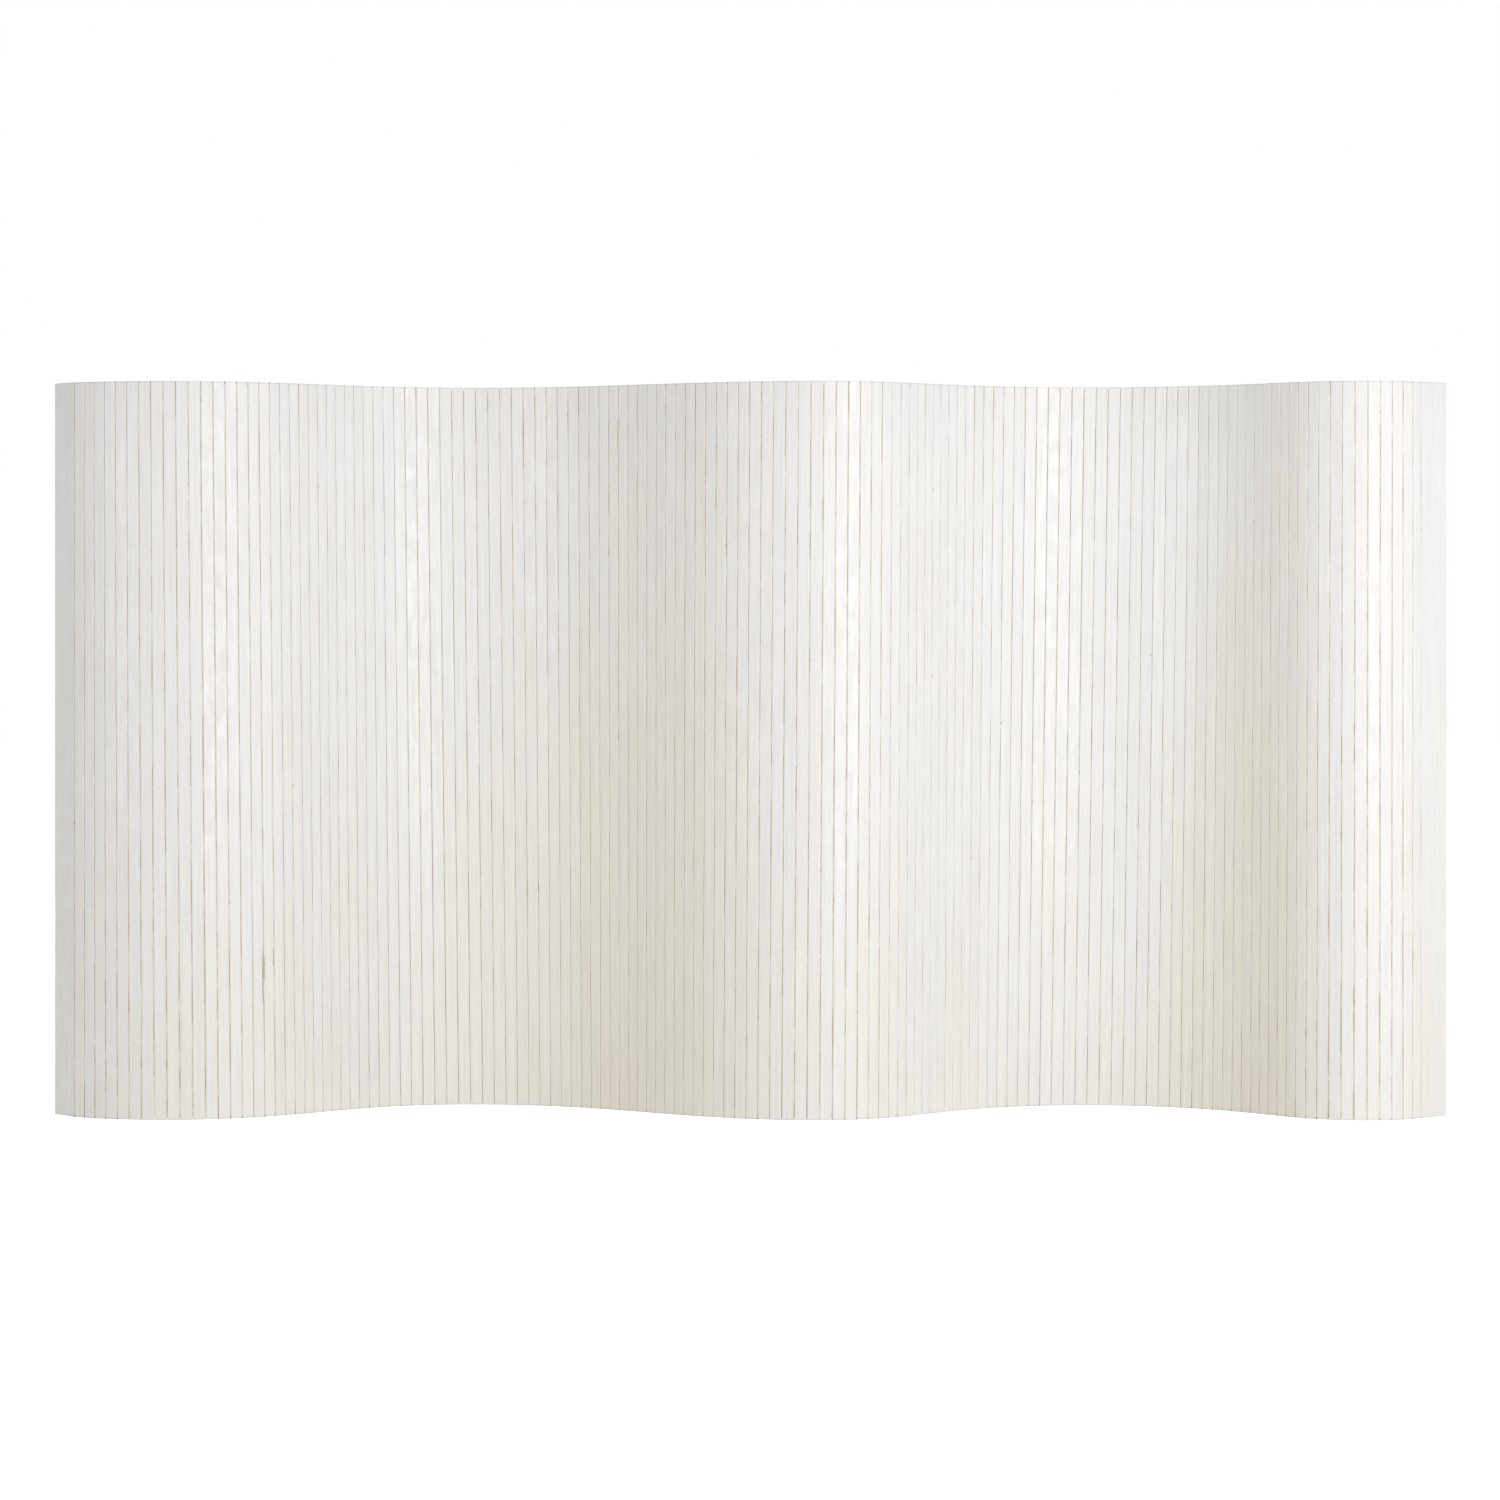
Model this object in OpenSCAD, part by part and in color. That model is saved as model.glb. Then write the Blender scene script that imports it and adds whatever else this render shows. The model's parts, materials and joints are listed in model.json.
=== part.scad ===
// Roll-up tambour screen: a row of upright wooden slats glued to one sheet of canvas,
// with a wide stile at each end. It stands by itself in a serpentine wave.
// +X runs along the screen, +Y to its canvas side, +Z up. The slatted face looks to -Y.

/* [Slats] */
// Height of the slats and of the end stiles
screen_h = 1500; // [600:10:2100]
// Number of slats between the two end stiles
slat_count = 127; // [30:1:150]
// Distance from one slat to the next, measured along the canvas
slat_pitch = 25.4; // [18:0.1:40]
// Thickness of a slat
slat_t = 5; // [4:0.5:9]
// Gap between two slats where they meet the canvas
slat_gap = 0.8; // [0.6:0.1:3]
// How far each side of a slat leans in between its back and its face
side_bevel = 0.6; // [0.3:0.1:1.5]
// Radius of the eased edges along a slat's face
edge_r = 1.2; // [0.5:0.1:2]

/* [Wave] */
// How strongly the screen is bent: 0 is a straight wall, 1 is the standing wave
bend_scale = 1; // [0:0.05:1.3]
// Heading of the first slat, in degrees from the X axis
first_heading = -35; // [-60:0.1:0]
// Turn between the first slat and the left stile, in degrees
left_end_turn = 20; // [0:1:30]
// Turn between the last slat and the right stile, in degrees
right_end_turn = 1; // [0:1:30]

/* [Canvas] */
// Thickness of the canvas
canvas_t = 0.8; // [0.4:0.1:2]
// Thickness of the glue between the slats and the canvas
glue_t = 0.3; // [0.2:0.1:0.6]
// How far the canvas stops short of the slats at the top and at the bottom
canvas_margin = 4; // [1:1:20]

/* [Stiles] */
// Width of an end stile
stile_w = 85; // [50:1:140]
// Radius of the rounded outer edges of a stile
stile_r = 3; // [1:0.5:5]
// Width of the batten that clamps the canvas to a stile
batten_w = 30; // [20:1:45]
// Thickness of the batten
batten_t = 6; // [4:0.5:10]
// Distance from the stile's inner edge to the batten
batten_inset = 2; // [1:0.5:4]
// Play between the batten and the shoulder of its rebate
batten_play = 0.3; // [0.1:0.1:0.6]

/* [Screws] */
// Number of screws in a batten
screw_count = 6; // [3:1:12]
// Diameter of a screw's shank
screw_d = 3; // [2:0.5:4]
// Diameter of a screw's countersunk head
screw_head_d = 6; // [5:0.5:8]
// Distance from the ends of the batten to the nearest screws
screw_end = 50; // [20:5:150]
// Wood left between a screw's tip and the face of the stile
screw_skin = 1.5; // [1:0.1:2.5]
// Play around a screw in its hole
screw_play = 0.1; // [0.05:0.05:0.3]
// Width and depth of the slot in a screw's head
slot_w = 0.8; // [0.5:0.1:1.2]

/* [Hidden] */
// Turn at a joint between two slats, in degrees, at chosen joints along the row.
// Between them it changes evenly. A positive turn bows the face towards -Y.
WAVE = [
    [0, 4.3], [12, 5.2], [22, 0.3], [30, -4.9], [45, -2.8], [54, 0.3], [62, 2.9],
    [72, 7.1], [81, -1.2], [88, -4.3], [107, -3.2], [113, -0.2], [120, 9.6], [127, 9.6]
];
// The wave above is drawn on this many slats. Another row has the same wave, stretched.
WAVE_SLATS = WAVE[len(WAVE) - 1][0];
// A node holds this many slats, and the first node a single one, so that
// the ends of the bends fall inside a node and not on its joint.
NODE_SLATS = 3;
FIRST_NODE_SLATS = 1;
EDGE_STEPS = 4;
ROUND_STEPS = 6;
$fn = 32;

node_count = 1 + ceil((slat_count - FIRST_NODE_SLATS) / NODE_SLATS);
stretch = WAVE_SLATS / slat_count;

// Room behind the slats' backs: two layers of glue with the canvas between them
canvas_room = 2 * glue_t + canvas_t;
rebate_depth = canvas_room + batten_t;
rebate_w = batten_inset + batten_w + batten_play;
screw_x = batten_inset + batten_w / 2;
screw_bite = slat_t - screw_skin;
screw_head_h = (screw_head_d - screw_d) / 2;
screw_spacing = (screen_h - 2 * screw_end) / (screw_count - 1);
screw_heights = [for (k = [0 : screw_count - 1]) screw_end + k * screw_spacing];

// Heading of every slat, from the first one and the turns at the joints
function turn(joint) = bend_scale * stretch * lookup(joint * stretch, WAVE);
headings = [
    for (i = 0, a = bend_scale * first_heading; i < slat_count; i = i + 1, a = a + turn(i))
        a
];
last_heading = headings[slat_count - 1];
left_heading = headings[0] - bend_scale * left_end_turn;
right_heading = last_heading + bend_scale * right_end_turn;

// Unit vectors along a heading and square to it, to the canvas side
function along(a) = [cos(a), sin(a)];
function behind(a) = [-sin(a), cos(a)];

// The joints lie on the slats' backs: joint i is where slat i begins
joints = [
    for (i = 0, p = [0, 0]; i <= slat_count;
            p = p + slat_pitch * along(headings[min(i, slat_count - 1)]), i = i + 1)
        p
];
// Headings on both sides of each joint, the stiles' among them
joint_sides = [
    for (i = [0 : slat_count])
        [i == 0 ? left_heading : headings[i - 1], i == slat_count ? right_heading : headings[i]]
];

// A point behind a joint, at the same distance from the slats on both sides of it
function mitre(i, d) =
    let (a = joint_sides[i][0], b = joint_sides[i][1])
    joints[i] + d / cos((b - a) / 2) * behind((a + b) / 2);
// Points on a stile: x outwards from its joint, y behind the plane of the slats' backs
function left_end(x, y) = joints[0] - x * along(left_heading) + y * behind(left_heading);
function right_end(x, y) =
    joints[slat_count] + x * along(right_heading) + y * behind(right_heading);
function sheet_line(d) = concat(
    [left_end(rebate_w - batten_play, d)],
    [for (i = [0 : slat_count]) mitre(i, d)],
    [right_end(rebate_w - batten_play, d)]
);

// The middle of the whole plan, which is put on the origin
plan = concat(
    [
        for (i = [0 : slat_count - 1])
            joints[i] + slat_pitch / 2 * along(headings[i]) - slat_t * behind(headings[i])
    ],
    sheet_line(glue_t + canvas_t),
    [for (y = [-slat_t, rebate_depth]) left_end(stile_w, y)],
    [for (y = [-slat_t, rebate_depth]) right_end(stile_w, y)]
);
plan_x = [for (p = plan) p.x];
plan_y = [for (p = plan) p.y];
middle = [(min(plan_x) + max(plan_x)) / 2, (min(plan_y) + max(plan_y)) / 2];

function slats_name(n) = str("slats_", n < 10 ? "0" : "", n);

function arc(centre, r, from, to, steps) =
    [for (k = [0 : steps]) centre + r * along(from + (to - from) * k / steps)];

// Where the bevelled side of a slat or stile stands, at y behind the slats' backs
function side_x(y) = slat_gap / 2 - side_bevel * y / slat_t;
function eased_corner() =
    let (y = edge_r - slat_t)
    arc([side_x(y) + edge_r, y], edge_r, 180, 270, EDGE_STEPS);
function flip(points, width) =
    [for (k = [len(points) - 1 : -1 : 0]) [width - points[k].x, points[k].y]];

module at_joint(i, heading) {
    translate([joints[i].x - middle.x, joints[i].y - middle.y, 0])
        rotate([0, 0, heading])
            children();
}

// Stands a stile's part at its joint, drawn with x outwards
module at_left_end() {
    at_joint(0, left_heading) mirror([1, 0, 0]) children();
}
module at_right_end() {
    at_joint(slat_count, right_heading) children();
}

// One slat: flat back on the canvas, leaning sides, eased edges on its face
module slat(i) {
    half = concat([[side_x(0), 0]], eased_corner());
    at_joint(i, headings[i])
        linear_extrude(screen_h)
            polygon(concat(half, flip(half, slat_pitch)));
}

module slats(n) {
    first = n == 1 ? 0 : FIRST_NODE_SLATS + (n - 2) * NODE_SLATS;
    size = n == 1 ? FIRST_NODE_SLATS : NODE_SLATS;
    color("ghostwhite")
        for (i = [first : min(first + size, slat_count) - 1])
            slat(i);
}

// The canvas runs behind every slat and ends under the battens
module canvas() {
    face = sheet_line(glue_t);
    back = sheet_line(glue_t + canvas_t);
    color("tan")
        difference() {
            translate([-middle.x, -middle.y, canvas_margin])
                linear_extrude(screen_h - 2 * canvas_margin)
                    polygon(concat(face, [for (k = [len(back) - 1 : -1 : 0]) back[k]]));
            at_left_end() screw_holes();
            at_right_end() screw_holes();
        }
}

// A stile's section: face flush with the slats, back rebated for the canvas and the batten
module stile() {
    outer = stile_w - stile_r;
    difference() {
        linear_extrude(screen_h)
            polygon(concat(
                [[side_x(0), 0]],
                eased_corner(),
                arc([outer, stile_r - slat_t], stile_r, 270, 360, ROUND_STEPS),
                arc([outer, rebate_depth - stile_r], stile_r, 0, 90, ROUND_STEPS),
                [[rebate_w, rebate_depth], [rebate_w, 0]]
            ));
        screw_holes();
    }
}

module batten() {
    difference() {
        translate([batten_inset, canvas_room, 0])
            cube([batten_w, batten_t, screen_h]);
        screw_holes();
        each_screw() head_cone(screw_play);
    }
}

// Puts a screw's shape in its place, with z along the screw and its head's face at z = 0
module each_screw() {
    for (z = screw_heights)
        translate([screw_x, rebate_depth, z])
            rotate([90, 0, 0])
                children();
}

module head_cone(play) {
    translate([0, 0, -play])
        cylinder(d1 = screw_head_d + 2 * play, d2 = screw_d + 2 * play, h = screw_head_h + play);
}

module screw_holes() {
    each_screw()
        cylinder(d = screw_d + 2 * screw_play, h = rebate_depth + screw_bite + screw_play);
}

module screws() {
    each_screw()
        difference() {
            rotate_extrude()
                polygon([
                    [0, 0], [screw_head_d / 2, 0], [screw_d / 2, screw_head_h],
                    [screw_d / 2, rebate_depth + screw_bite - screw_d / 2],
                    [0, rebate_depth + screw_bite]
                ]);
            translate([-screw_head_d, -slot_w / 2, -slot_w])
                cube([2 * screw_head_d, slot_w, 2 * slot_w]);
        }
}

canvas();
color("ghostwhite") at_left_end() stile();  // stile_left
color("ghostwhite") at_right_end() stile();  // stile_right
color("burlywood") at_left_end() batten();  // batten_left
color("burlywood") at_right_end() batten();  // batten_right
color("silver") at_left_end() screws();  // screws_left
color("silver") at_right_end() screws();  // screws_right
for (n = [1 : node_count]) {
    slats(n);
}
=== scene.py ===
import json
import math
import random

import bmesh
import bpy
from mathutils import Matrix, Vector, noise

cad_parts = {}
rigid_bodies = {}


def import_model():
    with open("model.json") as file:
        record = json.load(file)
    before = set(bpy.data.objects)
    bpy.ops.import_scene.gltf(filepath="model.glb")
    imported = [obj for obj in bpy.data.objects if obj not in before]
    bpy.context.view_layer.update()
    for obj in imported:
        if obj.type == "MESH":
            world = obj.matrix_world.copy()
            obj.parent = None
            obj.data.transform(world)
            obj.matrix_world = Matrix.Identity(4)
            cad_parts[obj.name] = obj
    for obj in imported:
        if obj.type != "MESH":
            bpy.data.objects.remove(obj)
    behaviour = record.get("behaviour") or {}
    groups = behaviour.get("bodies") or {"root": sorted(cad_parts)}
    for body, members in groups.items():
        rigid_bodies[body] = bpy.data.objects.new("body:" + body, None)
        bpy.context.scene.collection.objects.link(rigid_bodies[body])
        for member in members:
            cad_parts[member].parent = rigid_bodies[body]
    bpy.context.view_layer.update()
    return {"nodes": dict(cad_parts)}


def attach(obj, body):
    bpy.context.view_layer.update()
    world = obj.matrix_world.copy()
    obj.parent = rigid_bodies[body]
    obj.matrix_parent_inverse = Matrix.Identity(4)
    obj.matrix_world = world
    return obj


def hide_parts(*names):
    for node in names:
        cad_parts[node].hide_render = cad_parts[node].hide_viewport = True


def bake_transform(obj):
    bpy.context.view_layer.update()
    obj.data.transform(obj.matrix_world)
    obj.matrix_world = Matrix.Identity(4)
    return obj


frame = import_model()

MM = 0.001
SEED = 7

# The photograph's camera: it stands level, and its lens is shifted down to frame the screen
CAMERA_PLACE = (0.001, -11.322, 1.043)
SENSOR_W = 36.0  # millimetres
LENS = 131.87  # millimetres
LENS_SHIFT = -0.0959  # of the frame's width
FARTHEST_SEEN = 100

# A softbox and a broad bank of light to the right of the camera, a larger bank farther right, a reflector
# to the left, and a bank behind the screen for its back. Each lamp is its place, what it points at, its
# width and height, and its power in watts
LAMPS = {
    "softbox": ((2.5, -3.0, 1.35), (-0.2, 0.0, 0.85), 1.25, 1.45, 8.0),
    "bank": ((3.2, -6.5, 1.90), (0.0, 0.0, 0.75), 4.2, 3.6, 170.0),
    "far_bank": ((12.0, -7.0, 2.2), (0.0, 0.0, 0.75), 12.0, 8.0, 259.0),
    "reflector": ((-5.8, -5.4, 1.50), (0.0, 0.0, 0.75), 3.4, 2.6, 54.0),
    "back_bank": ((-2.5, 8.0, 2.6), (0.0, 0.0, 0.75), 7.0, 4.0, 240.0),
}
AMBIENT = 0.628  # strength of the even light from all round
FLOOR_SIZE = 60.0
FLOOR_LIFT = 0.6  # added to the floor where the camera or gloss sees it, so that it looks white

# Reading the frame's solids
WELD = 0.002 * MM  # points closer than this are one
ONE_FACE = 0.5  # degrees between faces that are really one
INSIDE = 0.01 * MM  # how far within its back and face a section is measured
ON_FACE = 0.1 * MM  # how close to the face a point of a section counts as on it
FACE_AT_LEAST = 10 * MM
ON_BACK = 5 * MM  # how close to a link's back the canvas on it lies
BESIDE = 1 * MM  # how far beside a slat the canvas is still taken as its own

# Painted wood
ROW_STEP = 0.09  # from one ring of a slat's mesh to the next
FRONT_STEPS = (0.035, 0.11, 0.3, 0.5, 0.7, 0.89, 0.965)  # extra points along a face, as shares of it
SMOOTH_BELOW = 40  # degrees
END_EASE = 0.5 * MM  # how far the sawn ends are rubbed round
EDGE_WANDER = 0.12 * MM  # how far a slat's sides stray from straight
EDGE_WAVES = 5.0  # a metre
FACE_TILT = 0.03  # how much thicker one side of a slat may be, as a share
FACE_CROWN = 0.08 * MM  # how much thicker it is along the middle of its face
THICKNESS_SPREAD = 0.08 * MM  # how much thicker or thinner it may be as a whole

# Wear, from 0 for sound paint to 1 for wood that is mostly bare
EDGE_WEAR = 0.9 * MM  # how far from the long edges the paint is thin
EDGE_WORN = 0.55  # at a long edge
END_WEAR = 2.5 * MM  # how far from the ends the paint is thin
END_WORN = 0.45  # at an end, as a share of a long edge's wear
SIDE_WORN = 0.45  # added in the joints
SIDE_FADE = 0.3  # the share of a side, next to the face, where that fades
# The paint is darker at the sawn ends, and has a painted shade near the top
END_DARKENING = (1.4 * MM, 2.6 * MM)  # from where to where the paint's darkening at the sawn ends fades out
TOP_SHADE_REACH = 0.18  # how far down from the top the paint is darkened, a painted shade where the light falls off towards the top

# Painted warm light from the floor, drawn as paint yellowing towards the floor, up to this height and by
# this much
LOW_WARM_LIGHT_H = 1.1
LOW_WARM_LIGHT = 0.24
# Painted warm shade in the hollows of the wave, drawn as oil paint yellowed where it gets little light:
# the joints where that begins, is full, still is full and ends, and how strong it is
PAINTED_HOLLOW_SHADE = ((26, 50, 59, 65, 0.50), (101, 109, 114, 119, 0.58))
HOLLOW_SHADE_FULL_H = 0.3  # from this height upwards it fades
HOLLOW_SHADE_AT_TOP = 0.35  # how much of it is left at the top

# How the slats lean in their own plane, in degrees, at these joints along the row
LEAN = (
    (0, 0.0), (8, 0.34), (20, 0.68), (26, 0.66), (40, 0.56), (61, -0.36), (72, -0.32),
    (88, -0.72), (101, -0.80), (110, -0.58), (120, -0.12), (127, 0.0),
)

# Chips that can be seen: slat, side (-1 left, 1 right), height of the middle, length, reach and depth
SEEN_CHIPS = (
    (15, 1, 0.285, 0.110, 2.2 * MM, 3.5 * MM),
    (16, -1, 0.30, 0.06, 1.0 * MM, 2.0 * MM),
    (16, 1, 0.325, 0.045, 3.0 * MM, 0.8 * MM),
    (39, 1, 0.803, 0.012, 1.6 * MM, 1.0 * MM),
    (41, -1, 0.454, 0.042, 1.3 * MM, 1.2 * MM),
    (42, -1, 0.455, 0.022, 1.8 * MM, 1.0 * MM),
    (49, 1, 1.395, 0.08, 1.6 * MM, 1.2 * MM),
    (50, -1, 1.42, 0.03, 1.8 * MM, 1.5 * MM),
    (60, -1, 0.551, 0.006, 3.5 * MM, 0.8 * MM),
    (85, -1, 0.520, 0.008, 2.0 * MM, 0.8 * MM),
    (88, -1, 0.800, 0.008, 3.0 * MM, 1.5 * MM),
    (100, 1, 0.940, 0.006, 6.5 * MM, 1.5 * MM),
    (108, -1, 0.654, 0.005, 6.0 * MM, 0.5 * MM),
)
# The same for both stiles, without the slat's number
STILE_CHIPS = (
    (1, 0.6, 0.01, 1.0 * MM, 0.6 * MM),
    (-1, 1.2, 0.008, 1.0 * MM, 0.6 * MM),
)
# Small chips left to chance, with their sizes in millimetres
CHIPS_PER_SLAT = 1.1  # the mean of the draw, before it is rounded down
CHIP_LENGTHS = (4, 16)
CHIP_REACHES = (0.3, 1.4)
CHIP_DEPTHS = (0.3, 1.0)
CHIP_FROM_END = 0.03
CHIP_APART = 4 * MM
# All chips
CHIP_ROW_STEP = 7 * MM
CHIP_MIN_STEPS = 4
CHIP_WIDER = 0.8 * MM  # added to each chip's reach, and all that is left of it at the chip's two ends
CHIP_BARE = 0.3 * MM  # from this depth on, its wear is 1

# Old glue and paint in the joints between the slats
FILL_TOP = 1.2 * MM  # how far below the slats' faces it stops
FILL_TOP_WANDER = 0.7 * MM
FILL_FOOT = 0.1 * MM  # how far it goes into the canvas
FILL_HOLLOW = 0.05  # how far its top is hollowed, as a share of twice its height
FILL_ROW_STEP = 0.015
FILL_CLEAR = 0.03 * MM  # how far it has shrunk from the slats' sides

# Canvas
CANVAS_ROW_STEP = 0.05
CANVAS_WANDER = 0.8 * MM  # how far its cut edges stray
CANVAS_SMOOTH_BELOW = 0.5  # degrees, so that it keeps a crease at each joint
CANVAS_THREADS = 300.0

PAINT = (0.860, 0.873, 0.889, 1)
# The yellowed colour of aged paint, also used for the painted warm light low down and the painted warm
# shade in the hollows
PAINT_AGED_AND_WARM_LIT = (0.852, 0.828, 0.737, 1)
WOOD_BARE = (0.50, 0.40, 0.26, 1)
WOOD_PALE = (0.62, 0.53, 0.38, 1)
CANVAS_CLEAN = (0.62, 0.54, 0.41, 1)
CANVAS_STAINED = (0.52, 0.43, 0.30, 1)
GLUE_PALE = (0.82, 0.78, 0.69, 1)
GLUE_TAN = (0.50, 0.42, 0.28, 1)
PINE_PALE = (0.66, 0.49, 0.30, 1)
PINE_DARK = (0.50, 0.33, 0.17, 1)
STEEL_BRIGHT = (0.60, 0.58, 0.52, 1)
STEEL_DULL = (0.42, 0.39, 0.33, 1)
WHITE = (1, 1, 1, 1)
FLOOR_PALE = (0.9, 0.9, 0.9, 1)
FLOOR_WARM = (0.62, 0.56, 0.50, 1)  # the light that it throws back on the screen

# Noise in the materials: waves a metre along, behind and up, or in X, Y and Z for pine and steel, then
# the noise's detail and roughness
GRAINS = {
    "yellowed patches": (7, 7, 2.2, 4, 0.55),
    "brush streaks": (230, 230, 5, 3, 0.55),
    "brush marks": (190, 190, 11, 2, 0.55),
    "planer ripples": (35, 35, 95, 3, 0.5),
    "paint skin": (700, 700, 420, 2, 0.55),
    "dull patches": (40, 40, 9, 3, 0.55),
    "glossy patches": (90, 90, 34, 4, 0.65),
    "rubbed edges": (130, 130, 11, 3, 0.55),
    "wood fibres": (900, 900, 12, 2, 0.55),
    "broken glue": (60, 60, 14, 3, 0.55),
    "glue specks": (60, 60, 220, 2, 0.55),
    "canvas stains": (16, 16, 7, 5, 0.55),
    "crease widths": (40, 40, 9, 3, 0.55),
    "upright slubs": (480, 480, 36, 4, 0.55),
    "level slubs": (16, 480, 480, 4, 0.55),
    "pine pores": (900, 900, 10, 3, 0.55),
    "dull steel": (500, 500, 500, 4, 0.55),
}


# ---- the frame's solids, read as upright links ----

class Link:
    """A slat or a stile: an upright prism on a flat back. u runs along its back, d behind it, z up.
    outward is None for a slat, -1 for the left stile and 1 for the right one."""

    def __init__(self, verts, faces, node, outward=None):
        self.node = node
        self.body = frame["nodes"][node].parent.name.removeprefix("body:")
        flat = max(faces, key=lambda f: f.calc_area()).normal
        behind = -flat if outward else flat
        self.behind = Vector((behind.x, behind.y)).normalized()
        self.along = Vector((self.behind.y, -self.behind.x))
        floor_face = min(faces, key=lambda f: (round(f.normal.z, 3), -f.calc_area()))
        ring = [Vector((v.co.x, v.co.y)) for v in floor_face.verts]
        if outward is None:
            back = max(p.dot(self.behind) for p in ring)
        else:
            inner = max(ring, key=lambda p: -outward * p.dot(self.along))
            back = inner.dot(self.behind)
        left = min(p.dot(self.along) for p in ring)
        right = max(p.dot(self.along) for p in ring)
        self.origin = left * self.along + back * self.behind
        self.width = right - left
        self.height = max(v.co.z for v in verts)
        self.section = [self.local(p) for p in ring]
        self.front = min(d for u, d in self.section)

    def sides(self, d):
        """Where the section begins and ends along u, at the depth nearest to d inside it."""
        d = min(max(d, self.front + INSIDE), -INSIDE)
        found = []
        for (u1, d1), (u2, d2) in zip(self.section, self.section[1:] + self.section[:1]):
            if min(d1, d2) <= d <= max(d1, d2):
                found.append(u1 if d1 == d2 else u1 + (u2 - u1) * (d - d1) / (d2 - d1))
        return min(found), max(found)

    def local(self, p):
        q = p - self.origin
        return q.dot(self.along), q.dot(self.behind)

    def point(self, u, d, z=0.0):
        p = self.origin + u * self.along + d * self.behind
        return Vector((p.x, p.y, z))


def clean_copy(node):
    """The node's mesh as a bmesh with whole flat faces."""
    bm = bmesh.new()
    bm.from_mesh(frame["nodes"][node].data)
    bmesh.ops.remove_doubles(bm, verts=bm.verts, dist=WELD)
    bmesh.ops.dissolve_limit(bm, angle_limit=math.radians(ONE_FACE), verts=bm.verts, edges=bm.edges)
    return bm


def islands(bm):
    """The separate solids of a mesh, as (vertices, faces)."""
    left = set(bm.verts)
    found = []
    while left:
        group, todo = set(), [next(iter(left))]
        while todo:
            v = todo.pop()
            if v not in group:
                group.add(v)
                todo.extend(e.other_vert(v) for e in v.link_edges)
        left -= group
        found.append((group, {f for v in group for f in v.link_faces}))
    return found


def read_links(node, outward=None):
    bm = clean_copy(node)
    links = [Link(verts, faces, node, outward) for verts, faces in islands(bm)]
    bm.free()
    return sorted(links, key=lambda link: link.origin.x)


def between(table, x):
    """The value at x of a table of (place, value), changing evenly between its rows."""
    for (x0, y0), (x1, y1) in zip(table, table[1:]):
        if x <= x1:
            return y0 + (y1 - y0) * (x - x0) / (x1 - x0)
    return table[-1][1]


slat_nodes = sorted(name for name in frame["nodes"] if name.startswith("slats_"))
slats = [link for node in slat_nodes for link in read_links(node)]
stile_left = read_links("stile_left", outward=-1)[0]
stile_right = read_links("stile_right", outward=1)[0]
links = [stile_left] + slats + [stile_right]

# The left stile has number -1, and the slats follow from 0
for number, link in enumerate(links):
    link.number = number - 1
    link.lean = between(LEAN, number - 0.5) if link in slats else 0.0

screen_h = stile_left.height
gap = (slats[1].point(0, 0) - slats[0].point(slats[0].width, 0)).length
pitch = slats[0].width + gap


# ---- meshes ----

def add_attribute(mesh, name, kind, values):
    data = mesh.attributes.new(name, kind, "POINT").data
    key = "vector" if kind == "FLOAT_VECTOR" else "value"
    flat = [x for value in values for x in value] if kind == "FLOAT_VECTOR" else values
    data.foreach_set(key, flat)


def face_outwards(mesh):
    bm = bmesh.new()
    bm.from_mesh(mesh)
    bmesh.ops.recalc_face_normals(bm, faces=bm.faces)
    bm.to_mesh(mesh)
    bm.free()


class Solid:
    """Collects rings of points into one mesh, with what the materials read at each point:
    place is metres along the screen, behind the slats and up, wear and tone are numbers."""

    def __init__(self):
        self.points = []
        self.place = []
        self.wear = []
        self.tone = []
        self.faces = []

    def loft(self, rings):
        """rings are equal lists of (point, place, wear, tone), joined ring to ring and capped."""
        size = len(rings[0])
        first = len(self.points)
        for ring in rings:
            for point, place, wear, tone in ring:
                self.points.append(point)
                self.place.append(place)
                self.wear.append(wear)
                self.tone.append(tone)
        for row in range(len(rings) - 1):
            low = first + row * size
            for k in range(size):
                after = (k + 1) % size
                self.faces.append((low + k, low + after, low + size + after, low + size + k))
        top = first + (len(rings) - 1) * size
        self.faces.append([first + k for k in reversed(range(size))])
        self.faces.append([top + k for k in range(size)])

    def object(self, name, material, smooth_below=SMOOTH_BELOW):
        mesh = bpy.data.meshes.new(name)
        mesh.from_pydata(self.points, [], self.faces)
        add_attribute(mesh, "place", "FLOAT_VECTOR", self.place)
        add_attribute(mesh, "wear", "FLOAT", self.wear)
        add_attribute(mesh, "tone", "FLOAT", self.tone)
        mesh.materials.append(material)
        mesh.validate()
        face_outwards(mesh)
        made = bpy.data.objects.new(name, mesh)
        bpy.context.scene.collection.objects.link(made)
        mesh.shade_smooth()
        mesh.set_sharp_from_angle(angle=math.radians(smooth_below))
        return made


def wobble(x, y, layer):
    """Smooth noise from -1 to 1. Each layer has its own."""
    return noise.noise(Vector((x, y, layer)))


def leant(link, z):
    """How far a link's lean shifts it sideways at a height."""
    return math.tan(math.radians(link.lean)) * (link.height / 2 - z)


def stray(link, share, z):
    """How far handwork has shifted a link sideways at a height, share of the way across it."""
    seed = SEED + link.number + (0.3 if share > 0.5 else 0.0)
    wander = wobble(seed * 3.7, z * EDGE_WAVES, 0.5)
    return wander * EDGE_WANDER * (2 * share - 1) + leant(link, z)


# ---- slats and stiles ----

def finer(section, face_at):
    """The section with extra points on its front face, which lies at depth face_at."""
    made = []
    for k, (u, d) in enumerate(section):
        made.append((u, d))
        u2, d2 = section[(k + 1) % len(section)]
        if abs(u2 - u) > FACE_AT_LEAST and abs(d - face_at) < ON_FACE and abs(d2 - face_at) < ON_FACE:
            made.extend((u + (u2 - u) * share, d + (d2 - d) * share) for share in FRONT_STEPS)
    return made


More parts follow.
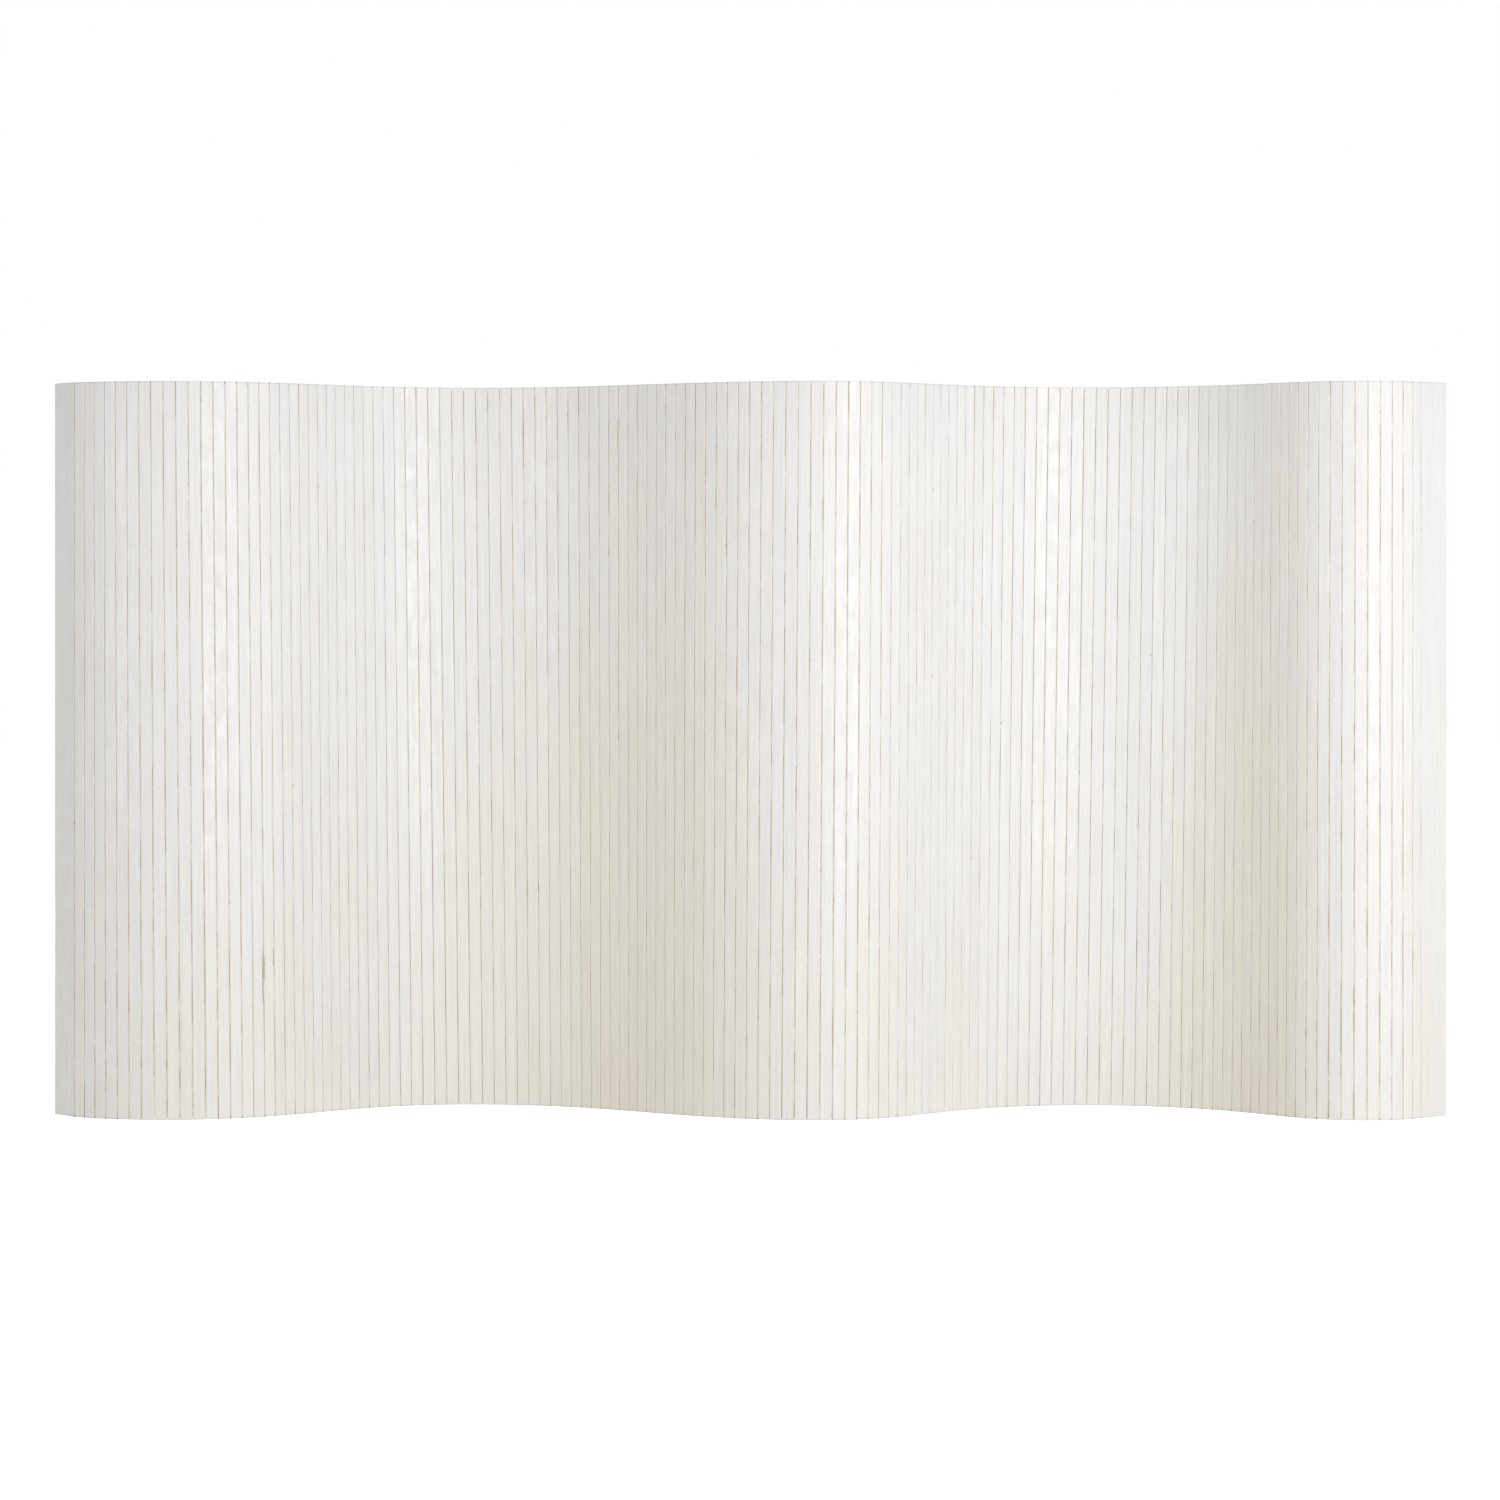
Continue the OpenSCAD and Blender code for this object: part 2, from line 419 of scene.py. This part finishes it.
def rows_of(height, chips):
    """Heights of the rings: evenly spaced, closer at the ends and over each chip."""
    count = round(height / ROW_STEP)
    rows = {0.0, END_EASE, END_WEAR, height - END_WEAR, height - END_EASE, height}
    rows.update(height * k / count for k in range(1, count))
    for side, middle, length, reach, depth in chips:
        steps = max(CHIP_MIN_STEPS, round(length / CHIP_ROW_STEP))
        rows.update(middle + length * (k / steps - 0.5) for k in range(steps + 1))
    return sorted(rows)


def chip_at(chips, u, z, width):
    """How deep the deepest chip is at a point of the face, in metres. A chip is narrower and fades out
    towards its two ends, and its rim is ragged."""
    deepest = 0.0
    for side, middle, length, reach, depth in chips:
        inside = 1 - (2 * (z - middle) / length) ** 2
        if inside > 0:
            ragged = 0.7 + 0.6 * wobble(middle * 90, z * 160, 0.7)
            from_edge = u if side < 0 else width - u
            across = 1 - from_edge / (reach * ragged * inside ** 0.4 + CHIP_WIDER)
            deepest = max(deepest, depth * min(inside * 3, 1) * max(across, 0) ** 0.5)
    return deepest


def wear_at(link, u, d, z):
    """How worn the paint is at a point of a link: along its long edges and ends, and in the joints."""
    from_side = min(u, link.width - u)
    from_end = min(z, link.height - z)
    wear = EDGE_WORN * max(1 - from_side / EDGE_WEAR, END_WORN * (1 - from_end / END_WEAR), 0)
    middle = link.width / 2
    outer = (link is stile_left and u < middle) or (link is stile_right and u > middle)
    if d <= 0 and not outer:
        wear += SIDE_WORN * min((1 - d / link.front) / SIDE_FADE, 1)
    return wear


def painted(solid, link, start, chips, tilt, crown):
    """Adds a slat or stile to solid: the frame's section, with the small faults of handwork. start is
    its place along the screen."""
    luck = random.Random(SEED + link.number)
    tone = luck.gauss(0, 1)
    extra = luck.uniform(-1, 1) * THICKNESS_SPREAD
    tilt = luck.uniform(-1, 1) * tilt
    section = finer(link.section, link.front)
    # Nothing stands out beyond the frame's own face and back
    deepest = max(d for u, d in section)
    rings = []
    for z in rows_of(link.height, chips):
        ease = max(END_EASE - z, z - link.height + END_EASE, 0.0)
        ring = []
        for u, d in section:
            share = u / link.width
            front_share = min(max(d / link.front, 0), 1)
            chip = chip_at(chips, u, z, link.width) * front_share
            wear = max(wear_at(link, u, d, z), min(chip / CHIP_BARE, 1.0))
            thicker = extra + crown * 4 * share * (1 - share)
            deep = d * (1 + tilt * (share - 0.5)) - front_share * thicker
            deep = min(deep + chip, 0.0) if d < 0 else deep
            deep = min(max(deep, link.front + ease), deepest - ease)
            across = min(max(u, ease), link.width - ease) + stray(link, share, z)
            ring.append((link.point(across, deep, z), (start + u, d, z), wear, tone))
        rings.append(ring)
    solid.loft(rings)


def chips_of(number, height):
    """The chips of a slat: those that the photograph shows, and a few small ones."""
    luck = random.Random(SEED * 1000 + number)
    found = [chip[1:] for chip in SEEN_CHIPS if chip[0] == number]
    for _ in range(int(luck.expovariate(1 / CHIPS_PER_SLAT))):
        middle = luck.uniform(CHIP_FROM_END, height - CHIP_FROM_END)
        length = luck.uniform(*CHIP_LENGTHS) * MM
        if all(abs(middle - other[1]) > (length + other[2]) / 2 + CHIP_APART for other in found):
            side = luck.choice((-1, 1))
            reach = luck.uniform(*CHIP_REACHES) * MM
            depth = luck.uniform(*CHIP_DEPTHS) * MM
            found.append((side, middle, length, reach, depth))
    return found


def build_slats(material):
    for node in slat_nodes:
        solid = Solid()
        for number, link in enumerate(slats):
            if link.node == node:
                chips = chips_of(number, link.height)
                painted(solid, link, number * pitch, chips, FACE_TILT, FACE_CROWN)
        piece = solid.object(node + "_painted", material)
        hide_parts(node)
        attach(piece, frame["nodes"][node].parent.name.removeprefix("body:"))


def build_stiles(material):
    for link in (stile_left, stile_right):
        solid = Solid()
        start = -link.width - gap if link is stile_left else len(slats) * pitch
        painted(solid, link, start, STILE_CHIPS, 0.0, 0.0)
        piece = solid.object(link.node + "_painted", material)
        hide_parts(link.node)
        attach(piece, link.body)


# ---- canvas, and the joints that it backs ----

def canvas_sizes():
    """Distance of the canvas from the slats' backs, its thickness, its lowest and highest edge,
    and how far it reaches onto a stile."""
    canvas = frame["nodes"]["canvas"].data
    slat = slats[len(slats) // 2]
    points = [v.co for v in canvas.vertices]
    flat = [Vector((p.x, p.y)) for p in points]
    over = [slat.local(p) for p in flat]
    depths = sorted(d for u, d in over if -BESIDE < u < slat.width + BESIDE and abs(d) < ON_BACK)
    low = min(p.z for p in points)
    high = max(p.z for p in points)
    onto = [stile_right.local(p) for p in flat]
    reach = max(u for u, d in onto if abs(d) < ON_BACK)
    return depths[0], depths[-1] - depths[0], low, high, reach


canvas_off, canvas_t, canvas_low, canvas_high, canvas_reach = canvas_sizes()


def canvas_rows(step):
    """Heights from the lowest to the highest edge of the canvas, about a step apart."""
    count = round((canvas_high - canvas_low) / step)
    return [canvas_low + (canvas_high - canvas_low) * row / count for row in range(count + 1)]


def strip_columns(chain, ends):
    """Points along the canvas over these links, as (link, u, metres along the screen). ends are where
    it starts on the first link and stops on the last. Between two links the canvas is free."""
    columns = []
    for k, number in enumerate(chain):
        link = links[number]
        start = -link.width - gap if number == 0 else (number - 1) * pitch
        first = ends[0] if k == 0 else 0.0
        last = ends[1] if k == len(chain) - 1 else link.width
        columns.append((link, first, start + first))
        columns.append((link, last, start + last))
    return columns


def joint_fill(solid, left, right, start):
    """Adds the ridge of glue and paint between two links. start is the joint's place along the screen."""
    rings = []
    for z in canvas_rows(FILL_ROW_STEP):
        top = left.front + FILL_TOP + FILL_TOP_WANDER * wobble(start * 90, z * 9, 0.2)
        ring = []
        for d in (canvas_off + FILL_FOOT, top):
            a = left.point(left.sides(d)[1] + stray(left, 1, z) + FILL_CLEAR, d, z)
            b = right.point(right.sides(d)[0] + stray(right, 0, z) - FILL_CLEAR, d, z)
            ring.append((a, b))
        (a0, b0), (a1, b1) = ring
        hollow = (a1 + b1) / 2 + ((a0 + b0) - (a1 + b1)) * FILL_HOLLOW
        corners = ((a0, 0.0), (a1, 1.0), (hollow, 1.0), (b1, 1.0), (b0, 0.0))
        rings.append([(point, (start, 0.0, z), wear, 0.0) for point, wear in corners])
    solid.loft(rings)


def canvas_strip(name, columns, material):
    """A strip of canvas with a front and a back, frayed along its lower and upper edge."""
    solid = Solid()
    rows = canvas_rows(CANVAS_ROW_STEP)
    rings = []
    for row, z in enumerate(rows):
        near, far = [], []
        for link, u, along in columns:
            frayed = 0.0
            if row in (0, len(rows) - 1):
                frayed = CANVAS_WANDER * wobble(along * 40, row, 0.3)
            for side, d, tone in ((near, canvas_off, 0.0), (far, canvas_off + canvas_t, 1.0)):
                point = link.point(u + leant(link, z), d, z + frayed)
                side.append((point, (along, d, z), 0.0, tone))
        rings.append(near + far[::-1])
    solid.loft(rings)
    return solid.object(name, material, CANVAS_SMOOTH_BELOW)


def spans():
    """For each hinge, the numbers of the links from the middle of one body to the middle of the next,
    and how many of them stand before the hinge."""
    bodies = {}
    for number, link in enumerate(links):
        bodies.setdefault(link.body, []).append(number)
    order = sorted(bodies.values())
    for before, after in zip(order, order[1:]):
        chain = list(range(before[len(before) // 2], after[len(after) // 2] + 1))
        yield chain, chain.index(after[0])


def bend_at_hinge(piece, chain, hinge):
    """Works out the leaning gap between the two links at the hinge but does not use it; it only moves the
    piece's transform into its mesh.
    """
    a, b = links[chain[hinge - 1]], links[chain[hinge]]
    start = a.point(a.width, canvas_off, a.height / 2)
    end = b.point(0, canvas_off, b.height / 2)
    end.z += (end - start).length * math.tan(math.radians((a.lean + b.lean) / 2))
    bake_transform(piece)


def build_canvas(material):
    for k, (chain, hinge) in enumerate(spans()):
        first, last = links[chain[0]], links[chain[-1]]
        u0 = first.width - canvas_reach if first is stile_left else first.width / 2
        u1 = canvas_reach if last is stile_right else last.width / 2
        columns = strip_columns(chain, (u0, u1))
        piece = canvas_strip(f"canvas_strip_{k + 1:02d}", columns, material)
        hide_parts("canvas")
        bend_at_hinge(piece, chain, hinge)
        along = [link.point(u, canvas_off) for link, u, place in columns]
        length = sum((q - p).length for p, q in zip(along, along[1:]))
        nodes = sorted({links[number].node for number in chain})


def build_joint_fill(material):
    for k, (chain, hinge) in enumerate(spans()):
        solid = Solid()
        for number in chain[1:]:
            joint_fill(solid, links[number - 1], links[number], (number - 1) * pitch - gap / 2)
        piece = solid.object(f"joint_fill_{k + 1:02d}", material)
        bend_at_hinge(piece, chain, hinge)


# ---- material nodes ----

def material_tree(name):
    material = bpy.data.materials.new(name)
    material.use_nodes = True
    tree = material.node_tree
    tree.nodes.clear()
    return material, tree


def add(tree, kind, inputs=None, **settings):
    """A new node. An input is a constant, or another node's socket that is linked to it."""
    made = tree.nodes.new("ShaderNode" + kind)
    for key, value in settings.items():
        setattr(made, key, value)
    for key, value in (inputs or {}).items():
        if isinstance(value, bpy.types.NodeSocket):
            tree.links.new(value, made.inputs[key])
        else:
            made.inputs[key].default_value = value
    return made


def read(tree, name):
    found = add(tree, "Attribute", attribute_name=name, attribute_type="GEOMETRY")
    return found.outputs["Vector" if name == "place" else "Fac"]


def part_of(tree, vector, axis):
    return add(tree, "SeparateXYZ", {0: vector}).outputs[axis]


def scaled(tree, vector, x, y, z):
    return add(tree, "VectorMath", {0: vector, 1: (x, y, z)}, operation="MULTIPLY").outputs[0]


def grain(tree, place, kind):
    """One of the noises in GRAINS, over place."""
    x, y, z, detail, rough = GRAINS[kind]
    return add(
        tree, "TexNoise",
        {"Vector": scaled(tree, place, x, y, z), "Scale": 1.0, "Detail": detail, "Roughness": rough},
    ).outputs["Fac"]


def ramp(tree, value, low, high, to_low=0.0, to_high=1.0):
    return add(
        tree, "MapRange",
        {"Value": value, "From Min": low, "From Max": high, "To Min": to_low, "To Max": to_high},
        clamp=True,
    ).outputs["Result"]


def grain_ramp(tree, place, kind, low, high, to_low=0.0, to_high=1.0):
    return ramp(tree, grain(tree, place, kind), low, high, to_low, to_high)


def math_of(tree, operation, a, b=0.0):
    return add(tree, "Math", {0: a, 1: b}, operation=operation).outputs[0]


def plus(tree, a, b):
    return math_of(tree, "ADD", a, b)


def minus(tree, a, b):
    return math_of(tree, "SUBTRACT", a, b)


def times(tree, a, b):
    return math_of(tree, "MULTIPLY", a, b)


def blend_colours(tree, share, a, b, kind="MIX"):
    made = add(tree, "Mix", {"Factor": share}, data_type="RGBA", blend_type=kind)
    for key, value in (("A", a), ("B", b)):
        socket = [s for s in made.inputs if s.name == key and s.type == "RGBA"][0]
        if isinstance(value, bpy.types.NodeSocket):
            tree.links.new(value, socket)
        else:
            socket.default_value = value
    return [s for s in made.outputs if s.type == "RGBA"][0]


def darkened(tree, colour, shade):
    return blend_colours(tree, 1.0, colour, shade, "MULTIPLY")


def bumped(tree, height, distance, strength=1.0):
    """The normal of a surface with this relief, distance deep."""
    return add(tree, "Bump", {"Strength": strength, "Distance": distance, "Height": height}).outputs[0]


def finish_material(tree, shader):
    tree.links.new(shader.outputs[0], add(tree, "OutputMaterial").inputs["Surface"])


# ---- materials ----

def warm_hollow_shade(tree, place):
    """How strong the painted warm shade in the hollows of the wave is, drawn as yellowed paint."""
    along = part_of(tree, place, "X")
    most = 0.0
    for begins, full, still_full, ends, strength in PAINTED_HOLLOW_SHADE:
        into = ramp(tree, along, begins * pitch, full * pitch, 0.0, strength)
        out = ramp(tree, along, still_full * pitch, ends * pitch, strength, 0.0)
        most = math_of(tree, "MAXIMUM", math_of(tree, "MINIMUM", into, out), most)
    fading = ramp(tree, part_of(tree, place, "Z"), HOLLOW_SHADE_FULL_H, screen_h, 1.0, HOLLOW_SHADE_AT_TOP)
    return times(tree, most, fading)


def paint_colour(tree, place):
    """Yellowed in patches and streaked by the brush, with painted warm light towards the floor and
    painted warm shade in the hollows, both drawn as yellowed paint; darker at the sawn ends, with painted
    shade at the top. Each slat has a tone of its own."""
    up = part_of(tree, place, "Z")
    patches = grain_ramp(tree, place, "yellowed patches", 0.42, 0.75, 0.0, 0.35)
    # Painted warm light towards the floor, drawn as yellowed paint
    yellow = plus(tree, patches, ramp(tree, up, 0.0, LOW_WARM_LIGHT_H, LOW_WARM_LIGHT, 0.0))
    # Painted warm shade in the hollows, drawn as yellowed paint
    yellow = plus(tree, yellow, warm_hollow_shade(tree, place))
    colour = blend_colours(tree, yellow, PAINT, PAINT_AGED_AND_WARM_LIT)
    streaks = grain_ramp(tree, place, "brush streaks", 0.3, 0.7, 0.94, 1.03)
    shade = plus(tree, streaks, ramp(tree, read(tree, "tone"), -2, 2, -0.014, 0.014))
    to_end = math_of(tree, "MINIMUM", up, minus(tree, screen_h, up))
    # Darker within a few millimetres of the sawn ends
    shade = times(tree, shade, ramp(tree, to_end, *END_DARKENING, 0.84, 1.0))
    # Painted shade towards the top
    shade = times(tree, shade, ramp(tree, up, screen_h - TOP_SHADE_REACH, screen_h, 1.0, 0.97))
    return darkened(tree, colour, shade)


def paint_relief(tree, place):
    """The planer's ripples, the brush's marks and the fine grain of the paint's skin."""
    skin = times(tree, grain(tree, place, "paint skin"), 0.08)
    brushed = times(tree, grain(tree, place, "brush marks"), 0.40)
    height = plus(tree, plus(tree, grain(tree, place, "planer ripples"), skin), brushed)
    return bumped(tree, height, 0.20 * MM)


def white_paint():
    """Coats of semi-gloss white on planed wood, yellowed in places, with painted warm light and shade
    drawn in, and worn off along the edges.
    """
    material, tree = material_tree("white_paint")
    place = read(tree, "place")
    rubbed = grain_ramp(tree, place, "rubbed edges", 0.25, 0.75, -0.75, 0.35)
    bare = ramp(tree, plus(tree, read(tree, "wear"), rubbed), 0.35, 0.75)
    wood = blend_colours(tree, grain_ramp(tree, place, "wood fibres", 0.3, 0.7), WOOD_BARE, WOOD_PALE)
    colour = blend_colours(tree, bare, paint_colour(tree, place), wood)
    rough = grain_ramp(tree, place, "dull patches", 0.3, 0.7, 0.40, 0.55)
    rough = plus(tree, rough, times(tree, bare, 0.25))
    polish = grain_ramp(tree, place, "glossy patches", 0.44, 0.60, 0.0, 0.55)
    shader = add(tree, "BsdfPrincipled", {
        "Base Color": colour, "Roughness": rough, "Normal": paint_relief(tree, place),
        "Specular IOR Level": 0.3, "Coat Weight": polish, "Coat Roughness": 0.10,
    })
    finish_material(tree, shader)
    return material


def old_glue():
    """Glue and paint in the joints: cream paint where it is whole, tan where it has broken away."""
    material, tree = material_tree("old_glue")
    place = read(tree, "place")
    specks = grain(tree, place, "glue specks")
    broken = grain_ramp(tree, place, "broken glue", 0.35, 0.62)
    share = plus(tree, broken, ramp(tree, specks, 0.45, 0.75, -0.2, 0.3))
    shader = add(tree, "BsdfPrincipled", {
        "Base Color": blend_colours(tree, share, GLUE_PALE, GLUE_TAN), "Roughness": 0.65,
        "Normal": bumped(tree, specks, 0.2 * MM),
    })
    finish_material(tree, shader)
    return material


def canvas_weave(tree, place):
    """Crossing threads, 1 where both are high."""
    threads = {"Vector": place, "Scale": CANVAS_THREADS, "Distortion": 0.5, "Detail": 1.0}
    warp = add(tree, "TexWave", threads, wave_type="BANDS", bands_direction="X").outputs["Fac"]
    weft = add(tree, "TexWave", threads, wave_type="BANDS", bands_direction="Z").outputs["Fac"]
    return times(tree, warp, weft)


def canvas_creases(tree, place, slat_at):
    """1 along each joint, down to 0 at the sides of the crease there."""
    from_joint = minus(tree, slat_at, math_of(tree, "ROUND", slat_at))
    wide = grain_ramp(tree, place, "crease widths", 0.3, 0.7, 0.04, 0.11)
    outwards = math_of(tree, "DIVIDE", math_of(tree, "ABSOLUTE", from_joint), wide)
    return math_of(tree, "MAXIMUM", minus(tree, 1.0, outwards), 0.0)


def canvas_colour(tree, place, slat_at, weave, crease):
    """Stained in patches and a little differently behind each slat, with slubs both ways, and with
    painted shade between the threads and in the creases."""
    each = add(tree, "TexWhiteNoise", {"W": math_of(tree, "FLOOR", slat_at)}, noise_dimensions="1D")
    each_slat = ramp(tree, each.outputs["Value"], 0, 1, -0.10, 0.10)
    stain = ramp(tree, plus(tree, grain(tree, place, "canvas stains"), each_slat), 0.35, 0.72)
    upright = grain_ramp(tree, place, "upright slubs", 0.3, 0.7, -0.05, 0.04)
    level = grain_ramp(tree, place, "level slubs", 0.3, 0.7, -0.07, 0.06)
    # Painted shade between the threads
    shade = plus(tree, plus(tree, upright, level), ramp(tree, weave, 0.0, 0.6, 0.84, 1.04))
    # Painted shade in the creases along the joints
    shade = times(tree, shade, ramp(tree, crease, 0.0, 1.0, 1.0, 0.74))
    return darkened(tree, blend_colours(tree, stain, CANVAS_CLEAN, CANVAS_STAINED), shade)


def canvas_cloth():
    """Unbleached cotton canvas in plain weave, with slubs, stained where glue came through it, and
    creased along the joints by rolling up."""
    material, tree = material_tree("canvas")
    place = read(tree, "place")
    slat_at = math_of(tree, "DIVIDE", plus(tree, part_of(tree, place, "X"), gap / 2), pitch)
    weave = canvas_weave(tree, place)
    crease = canvas_creases(tree, place, slat_at)
    height = plus(tree, weave, times(tree, crease, -2.0))
    shader = add(tree, "BsdfPrincipled", {
        "Base Color": canvas_colour(tree, place, slat_at, weave, crease), "Roughness": 0.9,
        "Normal": bumped(tree, height, 0.12 * MM, 0.8), "Sheen Weight": 0.15,
    })
    finish_material(tree, shader)
    return material


def bare_pine():
    """Planed pine: growth rings drawn out along the height, with fine dark pores."""
    material, tree = material_tree("bare_pine")
    place = add(tree, "TexCoord").outputs["Object"]
    rings = add(tree, "TexWave", {
        "Vector": scaled(tree, place, 60, 60, 1.5), "Scale": 1.6, "Distortion": 5.0, "Detail": 3.0,
        "Detail Scale": 1.2,
    }, wave_type="RINGS", rings_direction="X").outputs["Fac"]
    pores = grain(tree, place, "pine pores")
    colour = blend_colours(tree, ramp(tree, rings, 0.2, 0.95), PINE_PALE, PINE_DARK)
    shader = add(tree, "BsdfPrincipled", {
        "Base Color": darkened(tree, colour, ramp(tree, pores, 0.3, 0.7, 0.88, 1.05)),
        "Roughness": ramp(tree, pores, 0.3, 0.7, 0.48, 0.62),
        "Normal": bumped(tree, pores, 0.05 * MM, 0.6),
    })
    finish_material(tree, shader)
    return material


def screw_steel():
    """Zinc-plated steel, dulled in fine spots."""
    material, tree = material_tree("screw_steel")
    dull = grain(tree, add(tree, "TexCoord").outputs["Object"], "dull steel")
    shader = add(tree, "BsdfPrincipled", {
        "Base Color": blend_colours(tree, ramp(tree, dull, 0.35, 0.7), STEEL_BRIGHT, STEEL_DULL),
        "Roughness": ramp(tree, dull, 0.3, 0.7, 0.28, 0.5),
        "Normal": bumped(tree, dull, 0.02 * MM, 0.4), "Metallic": 1.0,
    })
    finish_material(tree, shader)
    return material


# ---- stage ----

def seen_ray(tree):
    """1 for rays from the camera, from gloss and through glass, which see a white studio."""
    path = add(tree, "LightPath").outputs
    seen = math_of(tree, "MAXIMUM", path["Is Camera Ray"], path["Is Glossy Ray"])
    return math_of(tree, "MAXIMUM", seen, path["Is Transmission Ray"])


def light_world():
    world = bpy.data.worlds.new("studio")
    world.use_nodes = True
    tree = world.node_tree
    tree.nodes.clear()
    around = add(tree, "Background", {"Color": WHITE, "Strength": AMBIENT})
    white = add(tree, "Background", {"Color": WHITE, "Strength": 1.0})
    mixed = add(tree, "MixShader", {0: seen_ray(tree), 1: around.outputs[0], 2: white.outputs[0]})
    tree.links.new(mixed.outputs[0], add(tree, "OutputWorld").inputs["Surface"])
    bpy.context.scene.world = world


def floor_material():
    """White where it is seen, with the screen's shadow, and warm in the light that it throws back."""
    material, tree = material_tree("floor")
    pale = add(tree, "BsdfDiffuse", {"Color": FLOOR_PALE})
    lift = add(tree, "Emission", {"Color": WHITE, "Strength": FLOOR_LIFT})
    shown = add(tree, "AddShader", {0: pale.outputs[0], 1: lift.outputs[0]})
    warm = add(tree, "BsdfDiffuse", {"Color": FLOOR_WARM})
    mixed = add(tree, "MixShader", {0: seen_ray(tree), 1: warm.outputs[0], 2: shown.outputs[0]})
    finish_material(tree, mixed)
    return material


def lay_floor():
    mesh = bpy.data.meshes.new("floor")
    half = FLOOR_SIZE / 2
    corners = [(-half, -half, 0), (half, -half, 0), (half, half, 0), (-half, half, 0)]
    mesh.from_pydata(corners, [], [(0, 1, 2, 3)])
    mesh.materials.append(floor_material())
    floor = bpy.data.objects.new("floor", mesh)
    bpy.context.scene.collection.objects.link(floor)


def place_lamp(name, place, aim, width, height, power):
    data = bpy.data.lights.new(name, "AREA")
    data.shape = "RECTANGLE"
    data.size = width
    data.size_y = height
    data.energy = power
    lamp = bpy.data.objects.new(name, data)
    bpy.context.scene.collection.objects.link(lamp)
    lamp.location = place
    lamp.rotation_euler = (Vector(aim) - Vector(place)).to_track_quat("-Z", "Y").to_euler()


def place_camera():
    data = bpy.data.cameras.new("camera")
    data.sensor_width = SENSOR_W
    data.lens = LENS
    data.shift_y = LENS_SHIFT
    data.clip_end = FARTHEST_SEEN
    camera = bpy.data.objects.new("camera", data)
    bpy.context.scene.collection.objects.link(camera)
    camera.location = CAMERA_PLACE
    camera.rotation_euler = (math.radians(90), 0, 0)
    bpy.context.scene.camera = camera


# ---- the whole ----

place_camera()
for name, lamp in LAMPS.items():
    place_lamp(name, *lamp)
light_world()
lay_floor()
bpy.context.scene.view_settings.view_transform = "Standard"

paint = white_paint()
build_slats(paint)
build_stiles(paint)
build_canvas(canvas_cloth())
build_joint_fill(old_glue())
pine = bare_pine()
steel = screw_steel()
for side in ("left", "right"):
    frame["nodes"]["batten_" + side].material_slots[0].material = pine
    frame["nodes"]["screws_" + side].material_slots[0].material = steel
